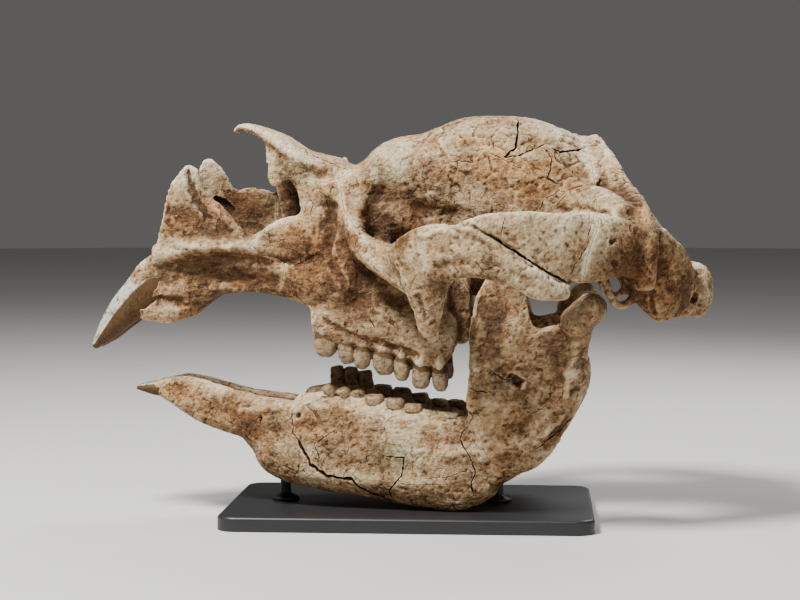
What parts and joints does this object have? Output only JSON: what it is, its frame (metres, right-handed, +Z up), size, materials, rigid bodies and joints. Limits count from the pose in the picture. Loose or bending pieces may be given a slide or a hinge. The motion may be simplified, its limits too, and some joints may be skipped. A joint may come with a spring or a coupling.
{
  "type": "diprotodon skull",
  "caption": "Life-size fossil skull and lower jaw of a giant extinct marsupial, jaws held open on a flat base with slender rods.",
  "frame": {"origin": "on the floor under the middle of the whole model's box", "axes": "+X towards the back of the skull, the snout points to -X, the animal's left side faces -Y, +Z up"},
  "size_m": [0.8034, 0.4632, 0.5194],
  "materials": {
    "bone": "dry fossil bone, mottled tan, grey and red-brown, pitted and cracked",
    "cheek_bone": "smoother grey-cream fossil bone with a faint sheen",
    "tooth": "worn enamel and brown dentine, slightly glossy",
    "stand": "plain satin black paint"
  },
  "bodies": {
    "root": {"premaxilla": "bone", "nasals": "bone", "maxilla": "bone", "braincase": "bone", "occiput": "bone", "dentary_left": "bone", "dentary_right": "bone", "jugal_left": "cheek_bone", "jugal_right": "cheek_bone", "squamosal_left": "cheek_bone", "squamosal_right": "cheek_bone", "incisor_upper_left": "tooth", "incisor_upper_right": "tooth", "incisor_lower_left": "tooth", "incisor_lower_right": "tooth", "stand_base": "stand", "stand_cranium_rod": "stand", "stand_jaw_rod": "stand"}
  },
  "joints": []
}
